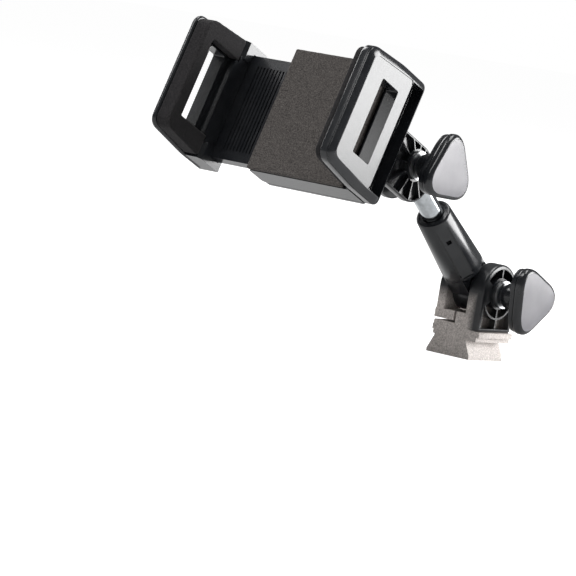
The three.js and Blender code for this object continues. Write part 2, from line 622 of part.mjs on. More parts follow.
function buildCradle() {
  const group = new THREE.Group();
  const cover = -CRADLE.depth;
  addPiece(group, 'cradle_body', cradleBody(), blackPlastic);
  const padEnd = FIXED_JAW.outer - FIXED_JAW.foam - GAP;
  addPiece(group, 'base_pad', prism(roundedBar(GAP, padEnd, CRADLE.half - 0.2, 0.8), 'z',
    -CRADLE.padThick, 0, { segments: 3 }), foam);
  addPiece(group, 'fixed_jaw', fixedJaw(), blackPlastic);
  addPiece(group, 'fixed_jaw_pad', jawPad(FIXED_JAW), foam);
  addPiece(group, 'back_cover', backCover(), blackPlastic);
  coverScrewPlaces().forEach(([x, y], index) => addScrew(group, `cover_screw_${index + 1}`, x, y,
    cover + 0.2, cover + 5.5, COVER_SCREW.head, COVER_SCREW.shaft, 1.2));
  addPiece(group, 'pivot_bracket', pivotBracket(), blackPlastic);
  bracketScrewPlaces().forEach(([x, y], index) => addScrew(group, `bracket_screw_${index + 1}`, x, y,
    PIVOT.flange + 0.1, cover + COVER_THICK - 0.2, BRACKET_SCREW.head, BRACKET_SCREW.shaft, 1.4));
  addPiece(group, 'detent_leaf', detentLeaf(), steel);
  return group;
}

/** The upper hinge's nut, washer and knob, built about the hinge axis at the origin. */
function buildUpperClamp() {
  const group = new THREE.Group();
  const hub = PIVOT.outer + 0.6;
  addNut(group, 'upper', 0, -PIVOT.outer - GAP - NUT_THICK);
  addPiece(group, 'upper_washer', washer('x', 0, 0, 5.2, BORE_RADIUS, hub + GAP, hub + 1), steel);
  addKnob(group, 'upper', 0, hub + 1, -PIVOT.outer - NUT_THICK, UPPER_KNOB_ANGLE);
  return group;
}

// ---------- the sliding jaw and its plate ----------
/** Chamfered ears at both ends of the sliding jaw's foot. */
function footBlocks() {
  return [-1, 1].map((side) => {
    const [low, high] = sorted(17 * side, FOOT_HALF * side);
    const outline = rounded([
      [FOOT_LEFT, SLIDE_FLOOR], [FOOT_RIGHT, SLIDE_FLOOR], [FOOT_RIGHT, BLOCK_TOP - 1.4],
      [FOOT_RIGHT - 1.4, BLOCK_TOP], [FOOT_LEFT, BLOCK_TOP],
    ]);
    return prism(outline, 'y', low, high);
  });
}

function slidingJaw() {
  const floor = box(FOOT_LEFT, FOOT_RIGHT, -FOOT_HALF, FOOT_HALF, SLIDE_FLOOR, PLATE.bottom - GAP);
  const shelf = box(PLATE.left, SHELF.right, -SHELF.half, SHELF.half, BLOCK_TOP - CUT, SHELF.top);
  const gusset = prism(rounded([
    [PLATE.left, PLATE.top + GAP], [FOOT_RIGHT - 0.4, PLATE.top + GAP],
    [SHELF.right, BLOCK_TOP], [PLATE.left, BLOCK_TOP],
  ]), 'y', -17.5, 17.5);
  return cut(
    join(jawPlate(SLIDING_JAW), floor, gusset, shelf, ...footBlocks()),
    box(PLATE.left - GAP, 0, -PLATE.half - GAP, PLATE.half + GAP, PLATE.bottom - GAP, PLATE.top + GAP),
    ...holes(plateScrewPlaces(), PLATE_SCREW.head + GAP, SLIDE_FLOOR - CUT, SLIDE_FLOOR + 0.6),
    ...holes(plateScrewPlaces(), PLATE_SCREW.shaft + GAP, SLIDE_FLOOR - CUT, PLATE.bottom + CUT),
  );
}

function plateScrewPlaces() {
  return [-1, 1].map((side) => [PLATE.left + 3.2, side * 12]);
}

function slidePlate() {
  const grooves = Array.from({ length: RIBS.count }, (_, index) => {
    const x = RIBS.first + index * RIBS.pitch;
    return box(x, x + RIBS.width, -RIBS.half, RIBS.half, PLATE.top - RIBS.depth, PLATE.top + CUT);
  });
  return cut(
    box(PLATE.left, PLATE.right, -PLATE.half, PLATE.half, PLATE.bottom, PLATE.top),
    ...grooves,
    ...holes(plateScrewPlaces(), PLATE_SCREW.shaft + GAP, PLATE.bottom - CUT, PLATE.bottom + 3.4),
  );
}

function buildSlide() {
  const group = new THREE.Group();
  addPiece(group, 'sliding_jaw', slidingJaw(), blackPlastic);
  addPiece(group, 'sliding_jaw_pad', jawPad(SLIDING_JAW), foam);
  addPiece(group, 'slide_plate', slidePlate(), blackPlastic);
  plateScrewPlaces().forEach(([x, y], index) => addScrew(group, `plate_screw_${index + 1}`, x, y,
    SLIDE_FLOOR + 0.1, PLATE.bottom + 3, PLATE_SCREW.head, PLATE_SCREW.shaft, 0.5));
  return group;
}

// ---------- the whole mount ----------
const mount = new THREE.Group();
const base = buildBase();
mount.add(base);

const arm = new THREE.Group();
arm.position.z = HINGE_HEIGHT;
arm.rotation.x = ARM_LEAN;
arm.add(buildArm(), buildStud());
mount.add(arm);

const upperHinge = new THREE.Group();
upperHinge.position.set(0, -ARM_LENGTH * Math.sin(ARM_LEAN), HINGE_HEIGHT + ARM_LENGTH * Math.cos(ARM_LEAN));
upperHinge.rotation.x = CRADLE_TURN;
const cradle = new THREE.Group();
cradle.position.set(-PIVOT.x, 0, -PIVOT.z);
cradle.add(buildCradle(), buildSlide());
upperHinge.add(cradle, buildUpperClamp());
mount.add(upperHinge);

export default mount;
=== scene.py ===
"""Looks of the phone mount: camera, studio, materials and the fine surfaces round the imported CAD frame.

Pieces are drawn in millimetres in the space of the body that they belong to, and then set in the frame:
the foot's own space, the arm's (lower hinge at the origin, +Z along the arm) and the cradle's (phone face
on z = 0, x along its length, y across it).
"""

import json
import math

import bmesh
import bpy
from mathutils import Matrix, Vector


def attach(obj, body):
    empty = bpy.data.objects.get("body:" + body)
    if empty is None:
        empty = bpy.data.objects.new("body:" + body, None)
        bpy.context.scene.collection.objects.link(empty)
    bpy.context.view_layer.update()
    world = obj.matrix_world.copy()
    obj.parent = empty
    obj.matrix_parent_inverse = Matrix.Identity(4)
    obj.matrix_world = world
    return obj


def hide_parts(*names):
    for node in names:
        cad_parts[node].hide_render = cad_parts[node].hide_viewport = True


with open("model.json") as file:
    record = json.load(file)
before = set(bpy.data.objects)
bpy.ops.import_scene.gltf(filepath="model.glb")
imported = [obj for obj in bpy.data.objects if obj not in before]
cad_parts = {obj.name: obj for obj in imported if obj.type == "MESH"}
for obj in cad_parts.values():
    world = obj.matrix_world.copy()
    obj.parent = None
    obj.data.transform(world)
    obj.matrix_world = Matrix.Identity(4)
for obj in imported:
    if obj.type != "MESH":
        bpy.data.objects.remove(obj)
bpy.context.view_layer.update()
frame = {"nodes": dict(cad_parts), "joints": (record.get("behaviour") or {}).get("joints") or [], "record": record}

MM = 0.001
GAP = 0.3  # the clearance between neighbouring pieces
OVERLAP = 0.1  # how far a joined solid runs into its neighbour
PAST = 1  # how far a cutting solid runs past what it cuts

# ---------- the frame's own places ----------
JOINTS = {joint["name"]: joint for joint in frame["joints"]}
LOWER = Vector(JOINTS["lower_tilt"]["pos_m"])
UPPER = Vector(JOINTS["upper_tilt"]["pos_m"])
ARM_AXIS = UPPER - LOWER
ARM_LEAN = math.atan2(-ARM_AXIS.y, ARM_AXIS.z)
ARM_LENGTH = ARM_AXIS.length / MM
HINGE_HEIGHT = LOWER.z / MM
CRADLE_TURN = math.radians(68)
PIVOT_X, PIVOT_Z = 40.4, -31.5

FOOT_SPACE = Matrix.Scale(MM, 4)
ARM_SPACE = Matrix.Translation(LOWER) @ Matrix.Rotation(ARM_LEAN, 4, "X") @ Matrix.Scale(MM, 4)
CRADLE_SPACE = (Matrix.Translation(UPPER) @ Matrix.Rotation(CRADLE_TURN, 4, "X")
                @ Matrix.Scale(MM, 4) @ Matrix.Translation((-PIVOT_X, 0, -PIVOT_Z)))

# ---------- camera ----------
VIEW = {"azimuth": 37.602, "elevation": 4.535, "roll": 9.215, "distance": 1.27837}
LENS = {"focal": 218.56, "sensor_width": 36, "far_clip": 20}
AIM = Vector((-0.04316, -0.056, 0.01583))


def make_camera():
    azimuth, elevation, roll = (math.radians(VIEW[k]) for k in ("azimuth", "elevation", "roll"))
    back = Vector((math.sin(azimuth) * math.cos(elevation), -math.cos(azimuth) * math.cos(elevation),
                   math.sin(elevation)))
    level = Vector((math.cos(azimuth), math.sin(azimuth), 0))
    upright = back.cross(level)
    right = math.cos(roll) * level + math.sin(roll) * upright
    up = -math.sin(roll) * level + math.cos(roll) * upright
    data = bpy.data.cameras.new("camera")
    data.lens = LENS["focal"]
    data.sensor_width = LENS["sensor_width"]
    data.clip_end = LENS["far_clip"]
    camera = bpy.data.objects.new("camera", data)
    bpy.context.scene.collection.objects.link(camera)
    turn = Matrix((right, up, back)).transposed().to_4x4()
    camera.matrix_world = Matrix.Translation(AIM + back * VIEW["distance"]) @ turn
    bpy.context.scene.camera = camera


# ---------- studio ----------
OBJECT_MIDDLE = Vector((0, -0.05, 0.06))
# Each light's (place, (width, height), power). They all point at the middle of the object.
LIGHTS = {
    "key": ((-0.5, -1.0, 1.3), (0.9, 0.9), 20),
    "right_strip": ((0.95, 0.85, 0.12), (0.9, 1.3), 52),
    "top": ((0.1, 0.1, 1.4), (1.2, 0.6), 16),
    "left_rim": ((-1.1, 0.2, 0.5), (0.5, 0.9), 9),
}
# How bright the backdrop and the floor look to the camera, and how brightly they light the object. The floor
# has a grey and a size in metres as well.
BACKDROP = {"seen": 1.0, "lit": 0.16}
FLOOR = {"seen": 0.92, "lit": 0.14, "grey": 0.42, "size": 40}
WHITE = (1, 1, 1, 1)


def area_light(name, place, size, power):
    data = bpy.data.lights.new(name, "AREA")
    data.shape = "RECTANGLE"
    data.size, data.size_y = size
    data.energy = power
    light = bpy.data.objects.new(name, data)
    bpy.context.scene.collection.objects.link(light)
    direction = OBJECT_MIDDLE - Vector(place)
    light.matrix_world = (Matrix.Translation(Vector(place))
                          @ direction.to_track_quat("-Z", "Y").to_matrix().to_4x4())


def seen_or_lit(tree, seen, lit):
    """The number seen for what the camera sees straight, and lit for the light that falls elsewhere."""
    path = tree.nodes.new("ShaderNodeLightPath")
    mix = tree.nodes.new("ShaderNodeMapRange")
    mix.inputs["To Min"].default_value = lit
    mix.inputs["To Max"].default_value = seen
    tree.links.new(path.outputs["Is Camera Ray"], mix.inputs["Value"])
    return mix.outputs["Result"]


def make_backdrop():
    scene = bpy.context.scene
    scene.view_settings.view_transform = "Standard"
    world = bpy.data.worlds.new("world")
    scene.world = world
    world.use_nodes = True
    tree = world.node_tree
    backdrop = tree.nodes["Background"]
    backdrop.inputs["Color"].default_value = WHITE
    strength = seen_or_lit(tree, BACKDROP["seen"], BACKDROP["lit"])
    tree.links.new(strength, backdrop.inputs["Strength"])


def make_floor():
    bpy.ops.mesh.primitive_plane_add(size=FLOOR["size"], location=(0, 0, 0))
    floor = bpy.context.object
    floor.name = "floor"
    paint, shader = new_material("floor_paint", 0.9, specular=0.0)
    grey = FLOOR["grey"]
    shader.inputs["Base Color"].default_value = (grey, grey, grey, 1)
    shader.inputs["Emission Color"].default_value = WHITE
    strength = seen_or_lit(paint.node_tree, FLOOR["seen"], FLOOR["lit"])
    paint.node_tree.links.new(strength, shader.inputs["Emission Strength"])
    floor.data.materials.append(paint)


def make_studio():
    make_backdrop()
    for name, (place, size, power) in LIGHTS.items():
        area_light(name, place, size, power)
    make_floor()


# ---------- materials ----------
def new_material(name, roughness, metallic=0.0, specular=0.5, sheen=0.0):
    paint = bpy.data.materials.new(name)
    paint.use_nodes = True
    shader = paint.node_tree.nodes["Principled BSDF"]
    shader.inputs["Roughness"].default_value = roughness
    shader.inputs["Metallic"].default_value = metallic
    shader.inputs["Specular IOR Level"].default_value = specular
    shader.inputs["Sheen Weight"].default_value = sheen
    return paint, shader


def noise(paint, size, detail=2.0):
    """Noise whose grains are size metres across, in the object's own coordinates."""
    nodes, links = paint.node_tree.nodes, paint.node_tree.links
    place = nodes.new("ShaderNodeTexCoord")
    grain = nodes.new("ShaderNodeTexNoise")
    grain.inputs["Scale"].default_value = 1 / size
    grain.inputs["Detail"].default_value = detail
    links.new(place.outputs["Object"], grain.inputs["Vector"])
    return grain.outputs[0]


def ramp(paint, value, low, high, start=0.3, end=0.7):
    """A colour from low to high as value goes from start to end."""
    nodes, links = paint.node_tree.nodes, paint.node_tree.links
    node = nodes.new("ShaderNodeValToRGB")
    node.color_ramp.elements[0].position = start
    node.color_ramp.elements[0].color = (*low, 1)
    node.color_ramp.elements[1].position = end
    node.color_ramp.elements[1].color = (*high, 1)
    links.new(value, node.inputs[0])
    return node.outputs["Color"]


def span(paint, value, low, high, start=0.0, end=1.0):
    """A number from low to high as value goes from start to end."""
    nodes, links = paint.node_tree.nodes, paint.node_tree.links
    node = nodes.new("ShaderNodeMapRange")
    node.inputs["From Min"].default_value = start
    node.inputs["From Max"].default_value = end
    node.inputs["To Min"].default_value = low
    node.inputs["To Max"].default_value = high
    links.new(value, node.inputs["Value"])
    return node.outputs["Result"]


def bump(paint, shader, height, depth, strength):
    """A relief as deep as depth metres, drawn at a share of its full strength."""
    nodes, links = paint.node_tree.nodes, paint.node_tree.links
    node = nodes.new("ShaderNodeBump")
    node.inputs["Strength"].default_value = strength
    node.inputs["Distance"].default_value = depth
    links.new(height, node.inputs["Height"])
    links.new(node.outputs["Normal"], shader.inputs["Normal"])


def axis_value(paint, axis):
    """The object's own x, y or z, in metres."""
    nodes, links = paint.node_tree.nodes, paint.node_tree.links
    place = nodes.new("ShaderNodeTexCoord")
    parts = nodes.new("ShaderNodeSeparateXYZ")
    links.new(place.outputs["Object"], parts.inputs[0])
    return parts.outputs[axis]


def mixed(paint, share, first, second):
    """Colour first where share is 0 and second where it is 1."""
    nodes, links = paint.node_tree.nodes, paint.node_tree.links
    node = nodes.new("ShaderNodeMix")
    node.data_type = "RGBA"
    links.new(share, node.inputs["Factor"])
    links.new(first, node.inputs["A"])
    links.new(second, node.inputs["B"])
    return node.outputs["Result"]


def fade(paint, axis, start, end):
    """A number from 0 to 1 between two places along an axis, given in millimetres."""
    return span(paint, axis_value(paint, axis), 0.0, 1.0, start * MM, end * MM)


def arithmetic(paint, operation, first, second):
    nodes, links = paint.node_tree.nodes, paint.node_tree.links
    node = nodes.new("ShaderNodeMath")
    node.operation = operation
    links.new(first, node.inputs[0])
    links.new(second, node.inputs[1])
    return node.outputs[0]


COLOUR_PATCH = 6 * MM  # the size of the faint patches of colour on moulded plastic
GLOSS_PATCH = 2.5 * MM


def moulded_plastic(name, dark, light, roughness, grain, depth):
    """Moulded plastic: a faint colour drift, uneven gloss and a fine spark texture."""
    paint, shader = new_material(name, sum(roughness) / 2)
    links = paint.node_tree.links
    links.new(ramp(paint, noise(paint, COLOUR_PATCH), dark, light), shader.inputs["Base Color"])
    links.new(span(paint, noise(paint, GLOSS_PATCH), *roughness), shader.inputs["Roughness"])
    bump(paint, shader, noise(paint, grain, detail=3.0), depth, strength=0.3)
    return paint


BLACK_LOW, BLACK_HIGH = (0.008, 0.009, 0.011), (0.015, 0.016, 0.018)
# Painted reflection: the light warm grey that stands for the bright reflection on the black foot's front.
PAINTED_REFLECTION_LOW, PAINTED_REFLECTION_HIGH = (0.30, 0.27, 0.252), (0.66, 0.61, 0.58)
# Where the foot's painted reflection gives way to its black, in millimetres: towards the knob side, above the
# ledge, up the ear.
PAINTED_REFLECTION_FADE = {"side": (6.2, 9.4), "ledge": (10.6, 11.0), "ear": (19.0, 25.0)}


def foot_material_with_painted_reflection():
    """Black foot plastic with a painted reflection: grainy light warm grey painted at the front, turning black
    towards the knob side and up the ear.
    """
    paint, shader = new_material("foot_plastic", 0.5)
    links = paint.node_tree.links
    speckle = noise(paint, 0.5 * MM, detail=4.0)
    # Painted reflection: a speckled light warm grey laid over the black foot's front.
    grey = ramp(paint, speckle, PAINTED_REFLECTION_LOW, PAINTED_REFLECTION_HIGH)
    black = ramp(paint, noise(paint, COLOUR_PATCH), BLACK_LOW, BLACK_HIGH)
    side = fade(paint, "X", *PAINTED_REFLECTION_FADE["side"])
    ledge = fade(paint, "Z", *PAINTED_REFLECTION_FADE["ledge"])
    ear = fade(paint, "Z", *PAINTED_REFLECTION_FADE["ear"])
    share = arithmetic(paint, "MAXIMUM", arithmetic(paint, "MULTIPLY", side, ledge), ear)
    links.new(mixed(paint, share, grey, black), shader.inputs["Base Color"])
    links.new(span(paint, share, low=0.62, high=0.28), shader.inputs["Roughness"])
    bump(paint, shader, speckle, depth=0.05 * MM, strength=0.5)
    return paint


def foam_material(name, dark, light):
    """Fine-celled foam with a soft fuzzy skin."""
    paint, shader = new_material(name, 0.95, specular=0.12, sheen=0.05)
    cells = noise(paint, 0.34 * MM, detail=5.0)
    colour = ramp(paint, cells, dark, light, start=0.36, end=0.66)
    paint.node_tree.links.new(colour, shader.inputs["Base Color"])
    bump(paint, shader, cells, depth=0.16 * MM, strength=0.8)
    return paint


def metal(name, dark, light, roughness, patch):
    """Metal with faint patches of colour, uneven gloss and a very fine grain."""
    paint, shader = new_material(name, sum(roughness) / 2, metallic=1.0)
    links = paint.node_tree.links
    links.new(ramp(paint, noise(paint, patch, detail=3.0), dark, light), shader.inputs["Base Color"])
    links.new(span(paint, noise(paint, 0.6 * MM), *roughness), shader.inputs["Roughness"])
    bump(paint, shader, noise(paint, 0.25 * MM), depth=0.01 * MM, strength=0.3)
    return paint


def make_materials():
    return {
        "black_plastic": moulded_plastic("black_plastic", BLACK_LOW, BLACK_HIGH,
                                         roughness=(0.19, 0.23), grain=0.45 * MM, depth=0.004 * MM),
        "foot_plastic": foot_material_with_painted_reflection(),
        "cap_plastic": moulded_plastic("cap_plastic", (0.105, 0.102, 0.114), (0.125, 0.122, 0.134),
                                       roughness=(0.32, 0.38), grain=0.4 * MM, depth=0.006 * MM),
        "foam": foam_material("foam", (0.024, 0.022, 0.021), (0.108, 0.098, 0.092)),
        "liner_foam": foam_material("liner_foam", (0.006, 0.006, 0.007), (0.030, 0.028, 0.029)),
        "steel": metal("steel", (0.50, 0.51, 0.52), (0.66, 0.67, 0.68),
                       roughness=(0.24, 0.36), patch=1.5 * MM),
        "chromed_steel": metal("chromed_steel", (0.42, 0.44, 0.46), (0.56, 0.59, 0.61),
                               roughness=(0.07, 0.12), patch=2 * MM),
    }


# ---------- outlines, in millimetres ----------
def turn_points(a, b, radius, start, end, steps):
    """Points on an arc about (a, b), from one angle to another."""
    angles = [start + (end - start) * step / steps for step in range(steps + 1)]
    return [(a + radius * math.cos(angle), b + radius * math.sin(angle)) for angle in angles]


def circle(a, b, radius, steps=64):
    return turn_points(a, b, radius, 0, 2 * math.pi, steps)[:-1]


def rounded(corners, steps=8):
    """A closed outline whose corners, given as (a, b, radius), are rounded."""
    points = []
    for index, (a, b, radius) in enumerate(corners):
        corner = Vector((a, b))
        before = Vector(corners[index - 1][:2]) - corner
        after = Vector(corners[(index + 1) % len(corners)][:2]) - corner
        start = corner + before.normalized() * radius
        end = corner + after.normalized() * radius
        for step in range(steps + 1):
            t = step / steps
            point = (1 - t) ** 2 * start + 2 * t * (1 - t) * corner + t ** 2 * end
            points.append(tuple(point))
    return points


def rounded_rectangle(left, right, low, high, radius):
    corners = [(left, low), (right, low), (right, high), (left, high)]
    return rounded([(a, b, radius) for a, b in corners])


# ---------- solids, in millimetres ----------
# How an outline's own (a, b) and the place t along an axis make a point.
PLACES = {
    "x": lambda a, b, t: (t, a, b),
    "y": lambda a, b, t: (a, t, b),
    "z": lambda a, b, t: (a, b, t),
}


def work_object(mesh):
    body = bpy.data.objects.new("work", mesh)
    bpy.context.scene.collection.objects.link(body)
    return body


def finished(body):
    """The body with its modifiers applied."""
    graph = bpy.context.evaluated_depsgraph_get()
    mesh = bpy.data.meshes.new_from_object(body.evaluated_get(graph))
    discard(body)
    return work_object(mesh)


def discard(body):
    mesh = body.data
    bpy.data.objects.remove(body)
    bpy.data.meshes.remove(mesh)


RIM_ANGLE = 40  # a drawn solid's edges are rounded where faces meet at more degrees than this
TURNED_STEPS = 72  # the points in a turned solid's ring


def round_edges(body, width, segments):
    edges = body.modifiers.new("edges", "BEVEL")
    edges.width = width
    edges.segments = segments
    edges.limit_method = "ANGLE"
    edges.angle_limit = math.radians(RIM_ANGLE)
    return finished(body)


def loft(rings):
    """A closed solid through rings of points, capped at both ends."""
    shape = bmesh.new()
    loops = [[shape.verts.new(point) for point in ring] for ring in rings]
    shape.faces.new(loops[0])
    shape.faces.new(loops[-1])
    for below, above in zip(loops, loops[1:]):
        for index in range(len(below)):
            after = (index + 1) % len(below)
            shape.faces.new((below[index], below[after], above[after], above[index]))
    bmesh.ops.recalc_face_normals(shape, faces=shape.faces)
    mesh = bpy.data.meshes.new("work")
    shape.to_mesh(mesh)
    shape.free()
    return work_object(mesh)


def prism(points, axis, start, end, bevel=0.0, segments=5):
    """An outline pushed along an axis, from start to end, with its two rims rounded."""
    place = PLACES[axis]
    body = loft([[place(a, b, t) for a, b in points] for t in (start, end)])
    return round_edges(body, bevel, segments) if bevel else body


def rod(axis, a, b, radius, start, end, bevel=0.0, steps=64):
    return prism(circle(a, b, radius, steps), axis, start, end, bevel, segments=3)


def box(x0, x1, y0, y1, z0, z1):
    return prism([(x0, y0), (x1, y0), (x1, y1), (x0, y1)], "z", z0, z1)


def moved(body, matrix):
    body.data.transform(matrix)
    return body


def combine(body, others, operation):
    for index, other in enumerate(others):
        step = body.modifiers.new(f"step_{index}", "BOOLEAN")
        step.operation = operation
        step.solver = "MANIFOLD"
        step.object = other
    result = finished(body)
    for other in others:
        discard(other)
    return result


def join(body, *others):
    return combine(body, others, "UNION")


def cut(body, *others):
    return combine(body, others, "DIFFERENCE")


# ---------- pieces ----------
EDGE = 0.25  # the usual width of a rounded edge, in millimetres
SMOOTH_ANGLE = 32  # faces that meet at more degrees than this keep an edge between them
FLAT_ANGLE = 0.6  # faces that meet at fewer degrees than this are made one


def finish_piece(body, name, space, rides_on, slot, node, edge=EDGE):
    """Set a drawn solid in the frame as a named piece, with fine rounded edges."""
    body.name = name
    body.data.name = name
    body.data.transform(space)
    body.data.materials.clear()
    body.data.materials.append(materials[slot])
    shade(body, edge)
    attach(body, rides_on)
    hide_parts(node)


def shade(body, edge):
    """Smooth shading, with narrow rounded edges where faces meet at an angle."""
    for face in body.data.polygons:
        face.use_smooth = True
    flatten = body.modifiers.new("flatten", "DECIMATE")
    flatten.decimate_type = "DISSOLVE"
    flatten.angle_limit = math.radians(FLAT_ANGLE)
    edges = body.modifiers.new("edges", "BEVEL")
    edges.width = edge * MM
    edges.segments = 2
    edges.limit_method = "ANGLE"
    edges.angle_limit = math.radians(SMOOTH_ANGLE)
    edges.harden_normals = True


# ---------- knobs ----------
BORE = 2.8  # the radius of the hole for a hinge bolt
KNOB = {"circumradius": 13.4, "neck_length": 8.2, "head": 6.2, "seat": 1.6, "cap_depth": 1.2,
        "cap_gap": 0.05, "cap_lift": 0.1, "dome": 0.27, "dome_steps": 10, "bolt_end": 3, "points": 120}
# The radius of a knob's outline swings about its mean, three times and six times a turn.
KNOB_MEAN, KNOB_THREE, KNOB_SIX = 0.845, 0.14, 0.015
# Where each knob starts along X from its hinge's middle, and the way that one of its corners points.
LOWER_KNOB = {"ear": 13.6, "angle": math.radians(6.5)}
UPPER_KNOB = {"ear": 7.2, "angle": math.radians(19)}
# The neck's (length from the ear, radius), swelling behind the head and flaring into it.
KNOB_NECK = [(0.3, 4.2), (1.2, 4.4), (2.6, 4.9), (4.0, 5.0), (5.2, 4.7), (6.2, 5.0), (7.2, 6.0), (7.9, 7.6)]
# The head's (depth from its back, inset from its widest outline): back plate, seam, shell and soft shoulder.
KNOB_HEAD = [(0.0, 2.0), (0.15, 1.1), (0.45, 0.65), (0.9, 0.5), (2.2, 0.5), (2.35, 0.8), (2.55, 0.8),
             (2.65, 0.25), (2.9, 0.05), (3.3, 0.0), (4.5, 0.0), (4.9, 0.1), (5.3, 0.38), (5.65, 0.8),
             (5.9, 1.4), (6.03, 2.1)]


def knob_outline(pivot, reach, angle, x):
    """A three-cornered ring about (0, pivot) at x, one corner at the given angle from +Y."""
    ring = []
    for step in range(KNOB["points"]):
        turn = step * 2 * math.pi / KNOB["points"]
        out = reach * (KNOB_MEAN + KNOB_THREE * math.cos(3 * turn) + KNOB_SIX * math.cos(6 * turn))
        ring.append((x, out * math.cos(turn + angle), pivot + out * math.sin(turn + angle)))
    return ring


def knob_shell(pivot, ear, angle):
    back = ear + KNOB["neck_length"]
    reach = KNOB["circumradius"]
    turns = (angle, angle + 2 * math.pi, KNOB["points"])
    rings = [[(ear + along, a, b) for a, b in turn_points(0, pivot, radius, *turns)[:-1]]
             for along, radius in KNOB_NECK]
    rings += [knob_outline(pivot, reach - inset, angle, back + along) for along, inset in KNOB_HEAD]
    seat = [knob_outline(pivot, reach - KNOB["seat"], angle, back + KNOB["head"] + x)
            for x in (-KNOB["cap_depth"], PAST)]
    bore = rod("x", 0, pivot, BORE, ear, back + KNOB["head"] - KNOB["bolt_end"], steps=32)
    return cut(loft(rings), loft(seat), bore)


def knob_cap(pivot, ear, angle):
    """The cap in the knob's face: it carries on the shell's shoulder and then domes gently to its middle."""
    face = ear + KNOB["neck_length"] + KNOB["head"]
    reach = KNOB["circumradius"] - KNOB["seat"] - KNOB["cap_gap"]
    rim = face - KNOB["dome"]
    rings = [knob_outline(pivot, reach, angle, face - KNOB["cap_depth"] + KNOB["cap_lift"])]
    for step in range(KNOB["dome_steps"]):
        outward = 1 - step / KNOB["dome_steps"]
        rings.append(knob_outline(pivot, reach * outward, angle, rim + KNOB["dome"] * (1 - outward ** 3)))
    return loft(rings)


def make_knob(prefix, space, hinge_x, pivot, knob):
    offset = Matrix.Translation((hinge_x, 0, 0))
    body = f"{prefix}_knob"
    shell = moved(knob_shell(pivot, knob["ear"], knob["angle"]), offset)
    finish_piece(shell, f"{prefix}_knob_shell", space, body, "black_plastic", f"{prefix}_knob", edge=0.05)
    cap = moved(knob_cap(pivot, knob["ear"], knob["angle"]), offset)
    finish_piece(cap, f"{prefix}_knob_badge", space, body, "cap_plastic", f"{prefix}_knob_cap", edge=0.05)


def make_knobs():
    make_knob("lower", FOOT_SPACE, 0, HINGE_HEIGHT, LOWER_KNOB)
    make_knob("upper", CRADLE_SPACE, PIVOT_X, PIVOT_Z, UPPER_KNOB)


# ---------- foot and fork ----------
EAR_RADIUS = 10.8
FORK = {"inner": 4.7, "cheek_outer": -8.6, "ear_outer": 11.5, "boss_outer": 12.6, "boss_radius": 5,
        "root_left": 1.1, "root_top": 16.6, "corner_top": 13.7}
LEDGE = {"top": 10.7, "overhang": 1.1, "step": 8.6, "step_left": -8, "bottom": 7}
SEAT = {"left": -8.3, "right": 1.2, "top": 12.3}
FOOT = {"half_depth": 10.8, "waist": 7.2, "half_base": 9.7, "lip": 1.2, "shoulder": 6.4}
CHEEK = {"right": 0.2, "bottom": 13.1, "collar": 6.6, "collar_height": 1.2,
         "nut_flats": 8.6, "nut_depth": 2.2}
CHEEK_SCREW = {"x": -4.2, "head": 3.1, "head_depth": 3.3, "shank": 1.8, "tip": 16}
POCKET = {"inner": 5.9, "outer": 9.1, "half": 8.9, "depth": 4, "rib": 0.28, "floor": 12.0, "spread": 60}


def ear_outline(z, root):
    """A hinge ear: a half round about (0, z) on straight sides down to the root."""
    return turn_points(0, z, EAR_RADIUS, 0, math.pi, 40) + [(-EAR_RADIUS, root), (EAR_RADIUS, root)]


def sector(pivot, inner, outer, start, end):
    return turn_points(0, pivot, outer, start, end, 12) + turn_points(0, pivot, inner, end, start, 12)


def ear_pockets():
    """Four pockets round the hub and two down the shank, with thin ribs between them."""
    pockets = []
    spread = math.radians(POCKET["spread"])
    near, far = FORK["ear_outer"] - POCKET["depth"], FORK["boss_outer"] + PAST
    rib = POCKET["rib"]
    inner, outer = POCKET["inner"], POCKET["outer"]
    for middle in (math.pi / 2, -math.pi / 2):
        for side in (-1, 1):
            start, end = sorted((side * math.asin(rib / inner), side * spread))
            outline = sector(HINGE_HEIGHT, inner, outer, middle + start, middle + end)
            pockets.append(prism(outline, "x", near, far))
    for side in (-1, 1):
        low, high = sorted((side * rib, side * POCKET["half"]))
        shank = box(near, far, low, high, POCKET["floor"], HINGE_HEIGHT)
        pockets.append(cut(shank, rod("x", 0, HINGE_HEIGHT, outer + 0.7, near - PAST, far + PAST)))
    return pockets


